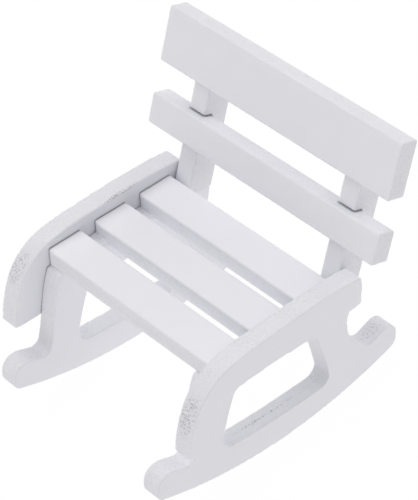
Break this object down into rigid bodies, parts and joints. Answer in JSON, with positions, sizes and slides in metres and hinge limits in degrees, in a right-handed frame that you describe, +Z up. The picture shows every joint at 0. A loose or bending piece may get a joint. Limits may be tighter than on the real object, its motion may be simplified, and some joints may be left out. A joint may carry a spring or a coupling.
{
  "type": "miniature rocking chair",
  "caption": "Doll's-house rocking chair in white painted wood: slatted seat and leaning back on curved runners, with wide arms that bend down in front.",
  "frame": {"origin": "centre of the chair's box in plan, on the floor under the runners", "axes": "+X to the right as seen from the front, +Y to the back, +Z up; the front faces -Y, and the parts named left are at -X"},
  "size_m": [0.0824, 0.0868, 0.0819],
  "materials": {
    "painted_wood": "satin white paint, rougher on sawn edges"
  },
  "bodies": {
    "root": {"frame_left": "painted_wood", "frame_right": "painted_wood", "arm_left": "painted_wood", "arm_right": "painted_wood", "slat_front": "painted_wood", "slat_middle": "painted_wood", "slat_rear": "painted_wood", "post_left": "painted_wood", "post_right": "painted_wood", "rail_lower": "painted_wood", "rail_top": "painted_wood"}
  },
  "joints": []
}
